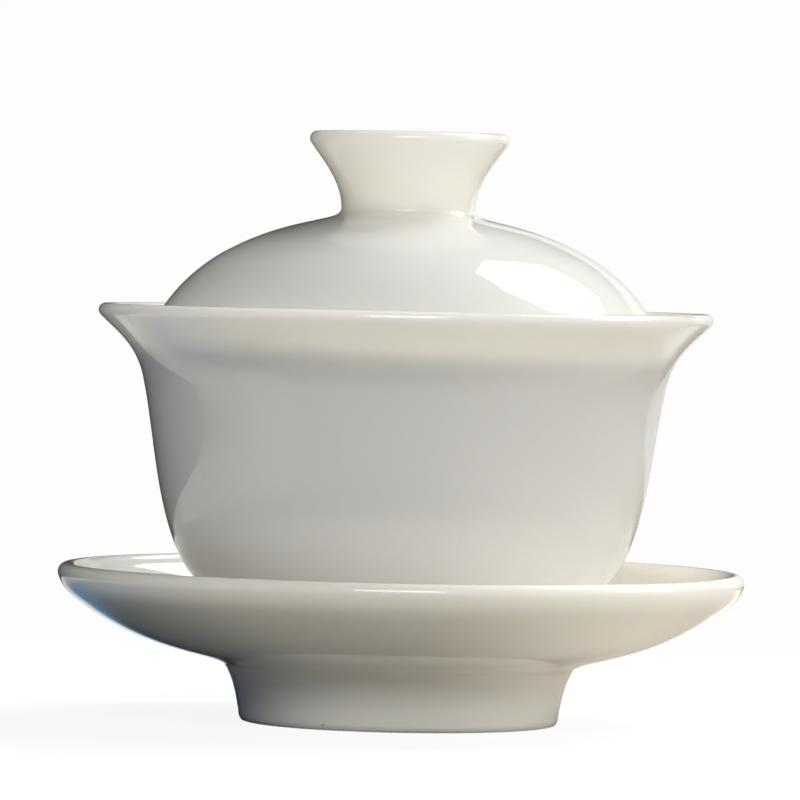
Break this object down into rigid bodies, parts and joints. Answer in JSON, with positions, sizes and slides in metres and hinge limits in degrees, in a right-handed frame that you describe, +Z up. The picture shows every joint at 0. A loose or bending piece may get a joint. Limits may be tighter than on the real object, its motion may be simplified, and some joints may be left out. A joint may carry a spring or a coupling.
{
  "type": "gaiwan",
  "caption": "Lidded tea bowl with a flared rim, a domed lid with a hollow trumpet knob, and a footed saucer with a well, in glazed ivory porcelain.",
  "frame": {"origin": "centre of the saucer's foot ring, on the plane that it stands on", "axes": "+Z up along the common axis of the saucer, the bowl and the lid; +X to the right and +Y to the back as the object is usually shown, though every piece is round about +Z"},
  "size_m": [0.106, 0.106, 0.0912],
  "materials": {
    "saucer_porcelain": "clear glossy glaze over ivory porcelain",
    "bowl_porcelain": "clear glossy glaze over ivory porcelain",
    "lid_porcelain": "clear glossy glaze over ivory porcelain"
  },
  "bodies": {
    "saucer": {"saucer": "saucer_porcelain"},
    "bowl": {"bowl": "bowl_porcelain"},
    "lid": {"lid": "lid_porcelain"}
  },
  "joints": [
    {"name": "bowl_lift", "type": "slide", "parent": "saucer", "child": "bowl", "axis": [0, 0, 1], "range_m": [0, 0.05]},
    {"name": "lid_lift", "type": "slide", "parent": "bowl", "child": "lid", "axis": [0, 0, 1], "range_m": [0, 0.06]}
  ]
}
